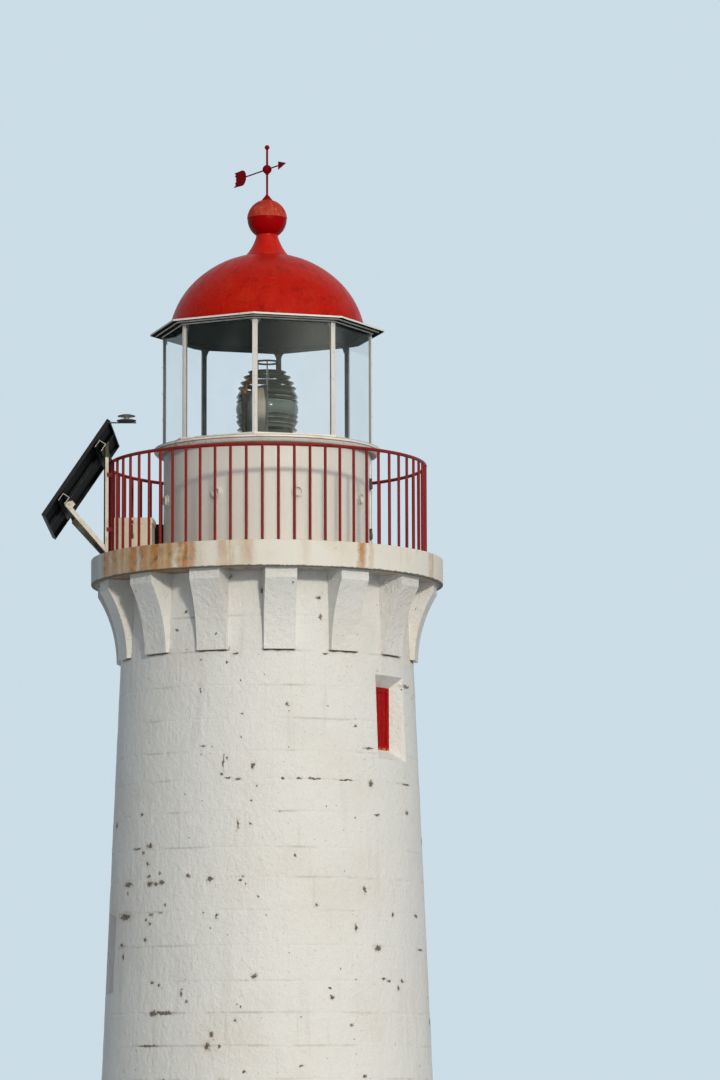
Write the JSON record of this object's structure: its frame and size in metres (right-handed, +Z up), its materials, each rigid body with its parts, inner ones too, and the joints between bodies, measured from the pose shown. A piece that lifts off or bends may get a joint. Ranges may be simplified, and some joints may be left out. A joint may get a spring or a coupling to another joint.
{
  "type": "lighthouse",
  "caption": "Round masonry lighthouse with a corbelled gallery, iron railing, octagonal glazed lantern with a drum lens, red dome and a turning wind vane.",
  "frame": {"origin": "on the ground at the centre of the tower", "axes": "+Z up along the tower; +Y away from the first view, through the entrance door; +X to the right of the first view"},
  "size_m": [4.0162, 3.5398, 11.31],
  "materials": {
    "painted_masonry": "white paint over coursed stone, worn",
    "gallery_stone": "painted stone with rust streaks",
    "floor_stone": "rough",
    "red_woodwork": "gloss paint, weathered",
    "railing_iron": "dark red paint, worn",
    "lantern_iron": "white gloss paint",
    "glazing_bars": "white paint",
    "lantern_glass": "clear",
    "roof_copper": "red paint, weathered",
    "vane_iron": "dark paint, rusting",
    "ceiling_sheet": "grey paint",
    "lens_glass": "polished, slightly green",
    "gunmetal": "tarnished",
    "screen_sheet": "dull",
    "module_frame": "dark anodised",
    "solar_cells": "dark cells under glass",
    "galvanised_steel": "galvanised, rust at the joints",
    "sensor_plastic": "grey",
    "cabinet_paint": "cream paint",
    "battery_case": "dark grey"
  },
  "bodies": {
    "tower": {"air_vents": "lantern_iron", "array_channels": "galvanised_steel", "array_clamps": "galvanised_steel", "array_posts": "galvanised_steel", "array_sensor": "sensor_plastic", "array_struts": "galvanised_steel", "ball_lower": "roof_copper", "ball_upper": "roof_copper", "battery_box": "battery_case", "cabinet": "cabinet_paint", "ceiling": "ceiling_sheet", "corbels": "painted_masonry", "cornice": "lantern_iron", "dome": "roof_copper", "door_frame": "red_woodwork", "eave": "glazing_bars", "entrance_door": "red_woodwork", "gallery_door": "lantern_iron", "gallery_door_fittings": "vane_iron", "gallery_slab": "gallery_stone", "glazing_kerb": "lantern_iron", "ground_floor": "floor_stone", "lantern_base_even_panels": "lantern_iron", "lantern_base_odd_panels": "lantern_iron", "lantern_door_panel": "lantern_iron", "lantern_panes": "lantern_glass", "lens_frame": "gunmetal", "lens_glass": "lens_glass", "lens_pedestal": "gunmetal", "lens_screen": "screen_sheet", "mullions": "glazing_bars", "railing_even_bays": "railing_iron", "railing_odd_bays": "railing_iron", "solar_frames": "module_frame", "solar_laminates": "solar_cells", "vane_spindle": "vane_iron", "ventilator_neck": "roof_copper", "wall_1": "painted_masonry", "wall_2": "painted_masonry", "wall_3": "painted_masonry", "wall_4": "painted_masonry", "wall_5": "painted_masonry", "wall_6": "painted_masonry", "wall_7": "painted_masonry", "wall_8": "painted_masonry", "window_frames": "red_woodwork", "window_shutters": "red_woodwork"},
    "vane": {"wind_vane": "vane_iron"}
  },
  "joints": [
    {"name": "vane_spin", "type": "hinge", "parent": "tower", "child": "vane", "pos_m": [0, 0, 11.061], "axis": [0, 0, 1], "continuous": true}
  ]
}
